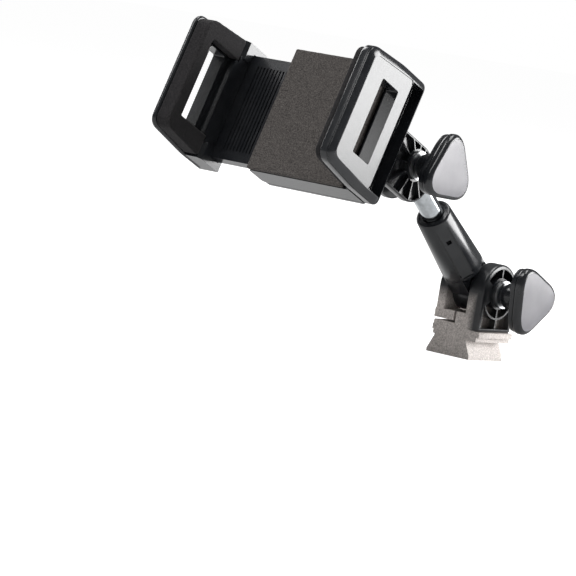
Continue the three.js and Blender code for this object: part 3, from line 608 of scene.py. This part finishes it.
def fork_base():
    wide, top, inner, outer = EAR_RADIUS, LEDGE["top"], FORK["inner"], FORK["ear_outer"]
    sunk = top - OVERLAP
    ear = prism(ear_outline(HINGE_HEIGHT, sunk), "x", inner, outer, bevel=1.1)
    boss = rod("x", 0, HINGE_HEIGHT, FORK["boss_radius"], outer - 1, FORK["boss_outer"], bevel=0.5)
    root = box(FORK["root_left"], inner + 1.2, -wide, wide, sunk, FORK["root_top"])
    corner = box(inner, outer - 1.2, -wide, wide, sunk, FORK["corner_top"])
    seat = box(SEAT["left"], SEAT["right"], -wide, wide, sunk, SEAT["top"])
    ledge = box(FORK["cheek_outer"], outer + LEDGE["overhang"], -wide, wide, LEDGE["step"], top)
    step = box(LEDGE["step_left"], outer, -wide, wide, LEDGE["bottom"], LEDGE["step"] + OVERLAP)
    base, waist, lip, shoulder = FOOT["half_base"], FOOT["waist"], FOOT["lip"], FOOT["shoulder"]
    neck = LEDGE["bottom"] + OVERLAP
    dovetail = [(-base, 0), (base, 0), (base, lip), (waist, shoulder), (waist, neck), (-waist, neck),
                (-waist, shoulder), (-base, lip)]
    foot = prism(dovetail, "y", -FOOT["half_depth"], FOOT["half_depth"])
    screw = CHEEK_SCREW
    return cut(
        join(foot, step, ledge, seat, root, corner, ear, boss),
        *ear_pockets(),
        rod("x", 0, HINGE_HEIGHT, BORE, inner - PAST, FORK["boss_outer"] + PAST, steps=32),
        rod("z", screw["x"], 0, screw["head"], -PAST, screw["head_depth"], steps=32),
        rod("z", screw["x"], 0, screw["shank"], 0, SEAT["top"] + PAST, steps=24),
    )


def hexagon(a, b, flats):
    return circle(a, b, flats / math.sqrt(3), 6)


def fork_cheek():
    outer = FORK["cheek_outer"]
    outline = ear_outline(HINGE_HEIGHT, CHEEK["bottom"])
    ear = prism(outline, "x", outer, -FORK["inner"], bevel=0.8, segments=4)
    block = box(outer, CHEEK["right"], -EAR_RADIUS, EAR_RADIUS, CHEEK["bottom"], FORK["root_top"])
    collar_left = outer - CHEEK["collar_height"]
    collar = rod("x", 0, HINGE_HEIGHT, CHEEK["collar"], collar_left, outer + 1, bevel=0.4)
    nut = hexagon(0, HINGE_HEIGHT, CHEEK["nut_flats"])
    return cut(
        join(ear, block, collar),
        prism(nut, "x", collar_left - PAST, outer + CHEEK["nut_depth"]),
        rod("x", 0, HINGE_HEIGHT, BORE, outer - PAST, 0, steps=32),
        rod("z", CHEEK_SCREW["x"], 0, CHEEK_SCREW["shank"], LEDGE["top"], CHEEK_SCREW["tip"], steps=24),
    )


def make_base():
    # The foot plastic's light grey front on both pieces is a painted reflection on black plastic.
    finish_piece(fork_base(), "foot_and_ear", FOOT_SPACE, "base", "foot_plastic", "base_body")
    finish_piece(fork_cheek(), "bolted_cheek", FOOT_SPACE, "base", "foot_plastic", "fork_cheek")


# ---------- arm and stud ----------
TONGUE = {"half_width": 4.35, "radius": 8.2, "half_neck": 6.8}
SLEEVE = {"bottom": 12.2, "shoulder": 14, "top": 43.3, "bottom_radius": 8, "top_radius": 6.5}
STUD = {"journal": 3.6, "shank": 3.95, "half_flat": 2.5, "eye": 5.9, "ring": 32.8, "bottom": 20.5,
        "shoulder": 57.4, "outside": 9}
STUD_GROOVE = {"half_width": 0.6, "depth": 0.8, "outside": 6, "reach": 2}
BUSH_RADIUS, BUSH_LENGTH = 5.2, 3
# A flat panel on the sleeve: its half width, its end below the sleeve's top, and the grooves along its edges.
PANEL_TURN = math.radians(-38)
PANEL = {"half": 2.5, "end": 3, "groove_inside": 0.4, "groove_outside": 0.1, "groove_depth": 0.5,
         "groove_end": 1, "reach": 4}
WINDOW_HALF = 0.9  # half the side of the square hole over the stud's groove


def panel_cuts(turn):
    """A flat down one side of the sleeve, with a fine groove along both of its long edges."""
    rise = SLEEVE["top"] - SLEEVE["shoulder"]
    slope = math.atan2(SLEEVE["bottom_radius"] - SLEEVE["top_radius"], rise)
    radius = (SLEEVE["bottom_radius"] + SLEEVE["top_radius"]) / 2
    half, end = PANEL["half"], PANEL["groove_end"]
    flat = math.sqrt(radius ** 2 - half ** 2)
    outside = flat + PANEL["reach"]
    low, high = -rise / 2, rise / 2 - PANEL["end"]
    pieces = [box(flat, outside, -half, half, low, high)]
    for side in (-1, 1):
        edges = (side * (half - PANEL["groove_inside"]), side * (half + PANEL["groove_outside"]))
        pieces.append(box(flat - PANEL["groove_depth"], outside, *sorted(edges), low + end, high - end))
    middle = (SLEEVE["top"] + SLEEVE["shoulder"]) / 2
    place = (Matrix.Rotation(turn, 4, "Z") @ Matrix.Translation((0, 0, middle))
             @ Matrix.Rotation(-slope, 4, "Y"))
    return [moved(piece, place) for piece in pieces]


def turned(profile):
    """A solid turned about Z through (radius, z) rings, closed by a flat at each end."""
    return loft([[(a, b, z) for a, b in circle(0, 0, radius, TURNED_STEPS)] for radius, z in profile])


def arm_sleeve():
    half, neck = TONGUE["half_width"], TONGUE["half_neck"]
    tongue = rod("x", 0, 0, TONGUE["radius"], -half, half, bevel=0.4)
    shank = box(-half, half, -neck, neck, 0, SLEEVE["shoulder"])
    low, high, top = SLEEVE["bottom_radius"], SLEEVE["top_radius"], SLEEVE["top"]
    bottom = SLEEVE["bottom"]
    # Rings from the bottom up: a chamfered foot, a straight taper and a rounded mouth.
    sleeve = turned([(low - 1.4, bottom), (low - 0.5, bottom + 0.4), (low, SLEEVE["shoulder"]),
                     (high + 0.2, top - 0.9), (high, top - 0.4), (high - 0.3, top - 0.1), (high - 0.6, top)])
    ring, side = STUD["ring"], WINDOW_HALF
    window = moved(box(0, low + PAST, -side, side, ring - side, ring + side),
                   Matrix.Rotation(PANEL_TURN, 4, "Z"))
    return cut(
        join(tongue, shank, sleeve),
        *panel_cuts(PANEL_TURN),
        *panel_cuts(PANEL_TURN + math.pi),
        rod("x", 0, 0, BORE, -low - PAST, low + PAST, steps=32),
        rod("z", 0, 0, STUD["journal"] + GAP, STUD["bottom"] - GAP, top + PAST),
        rod("z", 0, 0, BUSH_RADIUS + 0.1, top - BUSH_LENGTH - GAP, top + PAST),
        window,
    )


def stud_bush():
    top = SLEEVE["top"]
    ring = rod("z", 0, 0, BUSH_RADIUS, top - BUSH_LENGTH, top - 0.25, bevel=0.15)
    return cut(ring, rod("z", 0, 0, STUD["shank"] + GAP, top - BUSH_LENGTH - PAST, top + PAST))


def swivel_stud():
    journal, shank, half_flat, ring = STUD["journal"], STUD["shank"], STUD["half_flat"], STUD["ring"]
    bush_bottom, outside = SLEEVE["top"] - BUSH_LENGTH, STUD["outside"]
    pin = rod("z", 0, 0, journal, STUD["bottom"], bush_bottom)
    post = rod("z", 0, 0, shank, bush_bottom - OVERLAP, ARM_LENGTH - 3)
    eye = rod("x", 0, ARM_LENGTH, STUD["eye"], -half_flat, half_flat)
    flats = [box(*sorted((side * half_flat, side * outside)), -outside, outside, STUD["shoulder"], ARM_LENGTH)
             for side in (-1, 1)]
    half_width, reach = STUD_GROOVE["half_width"], STUD_GROOVE["reach"]
    groove = cut(rod("z", 0, 0, STUD_GROOVE["outside"], ring - half_width, ring + half_width),
                 rod("z", 0, 0, journal - STUD_GROOVE["depth"], ring - reach, ring + reach))
    bore = rod("x", 0, ARM_LENGTH, BORE, -outside, outside, steps=32)
    return cut(join(pin, cut(post, *flats), eye), bore, groove)


def make_arm():
    finish_piece(arm_sleeve(), "sleeve", ARM_SPACE, "arm", "black_plastic", "arm_sleeve", edge=0.08)
    finish_piece(stud_bush(), "sleeve_bush", ARM_SPACE, "arm", "black_plastic", "stud_bush", edge=0.1)
    finish_piece(swivel_stud(), "plated_stud", ARM_SPACE, "stud", "chromed_steel", "swivel_stud", edge=0.4)


# ---------- foam pads ----------
CRADLE = {"half": 24, "depth": 14, "pad": 1.4, "channel_half": 21.1}
JAW = {"front_half": 22.1, "flare": 1.6, "corner": 4.5, "back_corner": 2.8, "rim": 2.2, "pad_inset": 0.7,
       "pad_bottom": 0.6, "pad_gap": 0.1, "panel_inset": 2.6, "panel_depth": 0.4, "island_inset": 3.4,
       "hollow_bottom": 0.4, "window_corner": 0.8, "tray_corner": 1.5, "flare_corner": 2}
SLOT = {"top": -5.4, "bottom": -13.2}
# Each jaw: its outer face, the side that it looks to, its depths below that face, its front and back, and its
# window and the opening in its foam as (half width, low edge, high edge).
FIXED_JAW = {"outer": 50.9, "side": 1, "rim": 5.5, "web": 4.4, "foam": 7.9, "front": 22.4, "back": -14.6,
             "window": (14.3, 0.2, 11.1), "opening": (14.8, -1, 11.6)}
SLIDING_JAW = {"outer": -31.8, "side": -1, "rim": 3, "web": 5.6, "foam": 9.3, "front": 23.4, "back": -12.8,
               "window": (14.5, 4.4, 13.4), "opening": (15.2, -1, 17.7)}
BASE_FOAM = {"left": -0.1, "side_gap": 0.15, "corner": 0.4, "lift": 0.05}
# The foam's skin, in millimetres: the size of its mesh and of its cells, and how far they stand out.
SKIN = {"mesh": 0.34, "cells": 0.9, "fuzz": 0.16, "smoothing": 0.5, "passes": 3}


def make_foam(body, name, rides_on, node, material="liner_foam"):
    """Give a drawn pad an even fine skin with soft edges and a slightly uneven, fuzzy surface."""
    skin = body.modifiers.new("skin", "REMESH")
    skin.mode = "VOXEL"
    skin.voxel_size = SKIN["mesh"]
    body = finished(body)
    soft = body.modifiers.new("soft", "SMOOTH")
    soft.factor = SKIN["smoothing"]
    soft.iterations = SKIN["passes"]
    cells = bpy.data.textures.new(f"{name}_cells", "CLOUDS")
    cells.noise_scale = SKIN["cells"]
    fuzz = body.modifiers.new("fuzz", "DISPLACE")
    fuzz.texture = cells
    fuzz.mid_level = 0.5
    fuzz.strength = SKIN["fuzz"]
    body = finished(body)
    body.name = name
    body.data.name = name
    body.data.transform(CRADLE_SPACE)
    body.data.materials.clear()
    body.data.materials.append(materials[material])
    for face in body.data.polygons:
        face.use_smooth = True
    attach(body, rides_on)
    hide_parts(node)


def tray_outline(jaw, inset, bottom):
    """The outline of a jaw above the phone face, drawn in by an inset."""
    half, wide = JAW["front_half"] - inset, CRADLE["half"] - inset
    front = jaw["front"] - inset
    sharp, soft = JAW["tray_corner"], JAW["corner"] - inset / 2
    return rounded([(-wide, bottom, sharp), (wide, bottom, sharp), (half, front, soft), (-half, front, soft)])


def window_outline(half, low, high):
    return rounded_rectangle(-half, half, low, high, JAW["window_corner"])


def at_depth(jaw, outline, near, far):
    """A prism along X between two depths below a jaw's outer face, where a negative depth lies outside it."""
    return prism(outline, "x", *sorted(jaw["outer"] - jaw["side"] * depth for depth in (near, far)))


def jaw_liner(jaw):
    """The foam on a jaw's rim: plugged into a hollow jaw, or hollowed over a raised one."""
    bottom, on_rim = JAW["pad_bottom"], jaw["rim"] + JAW["pad_gap"]
    sheet = at_depth(jaw, tray_outline(jaw, JAW["pad_inset"], bottom), on_rim, jaw["foam"])
    if jaw["web"] < jaw["rim"]:
        plug = tray_outline(jaw, JAW["rim"] + GAP, bottom)
        sheet = join(sheet, at_depth(jaw, plug, jaw["web"] + 0.15, on_rim + 0.2))
    else:
        hollow = tray_outline(jaw, JAW["island_inset"] - 0.2, -PAST)
        sheet = cut(sheet, at_depth(jaw, hollow, 0, jaw["web"] + 0.2))
    return cut(sheet, at_depth(jaw, window_outline(*jaw["opening"]), 0, jaw["foam"] + PAST))


def make_pads():
    half = CRADLE["half"] - BASE_FOAM["side_gap"]
    right = FIXED_JAW["outer"] - FIXED_JAW["foam"]
    outline = rounded_rectangle(BASE_FOAM["left"], right, -half, half, BASE_FOAM["corner"])
    sheet = prism(outline, "z", -CRADLE["pad"], BASE_FOAM["lift"])
    make_foam(sheet, "base_foam", "cradle", "base_pad", "foam")
    make_foam(jaw_liner(FIXED_JAW), "fixed_jaw_foam", "cradle", "fixed_jaw_pad")
    make_foam(jaw_liner(SLIDING_JAW), "sliding_jaw_foam", "slide", "sliding_jaw_pad")


# ---------- jaws ----------
# A jaw's (depth below its outer face, inset from its widest outline), from a fine seam in its side outwards:
# the seam, a soft shoulder and a broad chamfer up to the panel. The side wall runs from the rim to the seam.
JAW_SHOULDER = [(2.2, 0.0), (2.05, 0.22), (1.75, 0.22), (1.6, 0.1), (1.35, 0.25), (1.05, 0.6), (0.3, 2.1),
                (0.12, 2.45)]
# The same for the soft edge at the rim, by depth short of the rim.
JAW_LIP = [(0.0, 0.9), (0.1, 0.5), (0.35, 0.18), (0.7, 0.0)]


def jaw_outline(jaw, inset):
    wide, half = CRADLE["half"] - inset, JAW["front_half"] - inset
    back, front = jaw["back"] + inset, jaw["front"] - inset
    sharp, soft = JAW["back_corner"] - 0.5 * inset, JAW["corner"] - 0.5 * inset
    flare, bend = JAW["flare"], JAW["flare_corner"]
    return rounded([(-wide, back, sharp), (wide, back, sharp), (wide, flare, bend),
                    (half, front, soft), (-half, front, soft), (-wide, flare, bend)], steps=10)


def jaw_plate(jaw):
    """A jaw: chamfered rim, window and a shallow panel outside, hollowed or raised inside for the foam."""
    profile = [(jaw["rim"] - short, inset) for short, inset in JAW_LIP] + JAW_SHOULDER
    plate = loft([[(jaw["outer"] - jaw["side"] * depth, a, b) for a, b in jaw_outline(jaw, inset)]
                  for depth, inset in profile])
    if jaw["web"] < jaw["rim"]:
        hollow = tray_outline(jaw, JAW["rim"], JAW["hollow_bottom"])
        plate = cut(plate, at_depth(jaw, hollow, jaw["web"], jaw["rim"] + PAST))
    else:
        island = tray_outline(jaw, JAW["island_inset"], JAW["hollow_bottom"])
        plate = join(plate, at_depth(jaw, island, jaw["rim"] - 0.2, jaw["web"]))
    panel = tray_outline(jaw, JAW["panel_inset"], SLOT["top"])
    return cut(
        plate,
        at_depth(jaw, window_outline(*jaw["window"]), -PAST, jaw["foam"]),
        at_depth(jaw, panel, -PAST, JAW["panel_depth"]),
    )


# The two flat tongues that hold the fixed jaw in the cradle.
TONGUES = {"length": 7, "near": 10, "far": 18, "bottom": -4.2, "top": -3}


def fixed_jaw():
    half, outer = CRADLE["channel_half"], FIXED_JAW["outer"]
    inner = outer - FIXED_JAW["rim"]
    tip, low, high = inner - TONGUES["length"], TONGUES["bottom"], TONGUES["top"]
    tongues = [box(tip, inner + 1, *sorted((side * TONGUES["near"], side * TONGUES["far"])), low, high)
               for side in (-1, 1)]
    slot = box(inner - PAST, outer + PAST, -half, half, SLOT["bottom"], SLOT["top"])
    return cut(join(jaw_plate(FIXED_JAW), *tongues), slot)


SLIDE_FOOT = {"right": -22, "half": 23.7, "floor": -12.5, "chamfer": 1.4, "block": 17}
SHELF = {"top": 2.1, "half": 15, "right": -22.7, "gusset_half": 17.5}
PLATE = {"left": -28.6, "half": 20.6, "top": -5.8, "bottom": -10.4}
PLATE_SCREW = {"x": -25.4, "y": 12, "head": 2.1, "head_depth": 0.6, "shank": 1.2}


def sliding_jaw():
    left, right = SLIDING_JAW["outer"] + 1, SLIDE_FOOT["right"]
    half, floor, chamfer = SLIDE_FOOT["half"], SLIDE_FOOT["floor"], SLIDE_FOOT["chamfer"]
    plate_left, plate_half = PLATE["left"], PLATE["half"] + GAP
    under_plate, over_plate = PLATE["bottom"] - GAP, PLATE["top"] + GAP
    under = box(left, right, -half, half, floor, under_plate)
    slope = [(plate_left, over_plate), (right - 0.4, over_plate), (SHELF["right"], 0), (plate_left, 0)]
    gusset = prism(slope, "y", -SHELF["gusset_half"], SHELF["gusset_half"])
    shelf = box(plate_left, SHELF["right"], -SHELF["half"], SHELF["half"], -1, SHELF["top"])
    outline = [(left, floor), (right, floor), (right, -chamfer), (right - chamfer, 0), (left, 0)]
    blocks = [prism(outline, "y", *sorted((side * SLIDE_FOOT["block"], side * half))) for side in (-1, 1)]
    below, x, screw = floor - PAST, PLATE_SCREW["x"], PLATE_SCREW
    rows = (-screw["y"], screw["y"])
    return cut(
        join(jaw_plate(SLIDING_JAW), under, gusset, shelf, *blocks),
        box(plate_left - GAP, 0, -plate_half, plate_half, under_plate, over_plate),
        *[rod("z", x, y, screw["head"], below, floor + screw["head_depth"], steps=32) for y in rows],
        *[rod("z", x, y, screw["shank"], below, PLATE["bottom"] + PAST, steps=24) for y in rows],
    )


def make_jaws():
    finish_piece(fixed_jaw(), "right_jaw", CRADLE_SPACE, "cradle", "black_plastic", "fixed_jaw", edge=0.15)
    finish_piece(sliding_jaw(), "left_jaw", CRADLE_SPACE, "slide", "black_plastic", "sliding_jaw", edge=0.2)


# ---------- hinge bracket ----------
BRACKET = {"gap_half": 2.7, "outer": 5.6, "flange": -17.9, "hub": 5, "hub_height": 0.6}
# The bracket's two flat layers under the cradle. Their left and right are measured from the hinge's middle.
FLANGE = {"left": -15, "right": 4.5, "half": 16, "corner": 3, "thickness": 1.8}
HUMP = {"left": -8, "margin": 1.6, "corner": 2, "height": 2}
BRACKET_SCREW = {"x": PIVOT_X - 11, "y": 12, "shank": 1.5}
BRACKET_EAR = {"y": -2.7, "z": -32.7, "radius": 10.4}
FAN = {"inner": 5.9, "edge": 0.7, "depth": 1.8, "count": 12, "rib": 0.24}


def bracket_ear(inset):
    """The bracket's ear: a round head, off the hinge axis, hanging from a straight shank."""
    y, z, radius = BRACKET_EAR["y"], BRACKET_EAR["z"], BRACKET_EAR["radius"] - inset
    root = BRACKET["flange"] + 0.5 - inset
    return turn_points(y, z, radius, 0, -math.pi, 40) + [(y - radius, root), (y + radius, root)]


def bracket_pockets():
    """The hollows in the knob-side ear, between thin ribs that fan out from the hub."""
    face = PIVOT_X + BRACKET["outer"]
    near, far = face - FAN["depth"], face + PAST
    ribs = []
    for index in range(FAN["count"]):
        rib = box(near - PAST, far + PAST, 0, 2 * BRACKET_EAR["radius"], -FAN["rib"], FAN["rib"])
        turn = Matrix.Rotation((index + 0.5) * 2 * math.pi / FAN["count"], 4, "X")
        ribs.append(moved(rib, Matrix.Translation((0, 0, PIVOT_Z)) @ turn))
    hub = rod("x", 0, PIVOT_Z, FAN["inner"], near - PAST, far + PAST)
    return cut(prism(bracket_ear(FAN["edge"]), "x", near, far), hub, *ribs)


def pivot_bracket():
    top, flange = -CRADLE["depth"] - GAP, BRACKET["flange"]
    outer, gap = BRACKET["outer"], BRACKET["gap_half"]
    outline = rounded_rectangle(PIVOT_X + FLANGE["left"], PIVOT_X + FLANGE["right"],
                                -FLANGE["half"], FLANGE["half"], FLANGE["corner"])
    plate = prism(outline, "z", flange + FLANGE["thickness"], top)
    reach = BRACKET_EAR["radius"] + HUMP["margin"]
    outline = rounded_rectangle(PIVOT_X + HUMP["left"], PIVOT_X + outer,
                                BRACKET_EAR["y"] - reach, BRACKET_EAR["y"] + reach, HUMP["corner"])
    hump = prism(outline, "z", flange, flange + HUMP["height"])
    ears = [prism(bracket_ear(0), "x", PIVOT_X + start, PIVOT_X + end, bevel=0.5, segments=3)
            for start, end in ((-outer, -gap), (gap, outer))]
    hub_end = PIVOT_X + outer + BRACKET["hub_height"]
    hub = rod("x", 0, PIVOT_Z, BRACKET["hub"], PIVOT_X + outer - 1, hub_end, bevel=0.3)
    screw = BRACKET_SCREW
    return cut(
        join(plate, hump, *ears, hub),
        bracket_pockets(),
        rod("x", 0, PIVOT_Z, BORE, PIVOT_X - outer - PAST, hub_end + PAST, steps=32),
        *[rod("z", screw["x"], y, screw["shank"], flange - PAST, top + PAST, steps=24)
          for y in (-screw["y"], screw["y"])],
    )


def make_bracket():
    finish_piece(pivot_bracket(), "hinge_bracket", CRADLE_SPACE, "cradle", "black_plastic", "pivot_bracket",
                 edge=0.15)


# ---------- CAD nodes ----------
def dress_cad():
    slots = {row["node"]: row["material_slot"] for row in frame["record"]["subparts"]}
    for name, node in frame["nodes"].items():
        if node.hide_render:
            continue
        node.data.materials.clear()
        node.data.materials.append(materials[slots[name]])
        shade(node, EDGE)


make_camera()
make_studio()
materials = make_materials()
make_base()
make_arm()
make_knobs()
make_bracket()
make_jaws()
make_pads()
dress_cad()
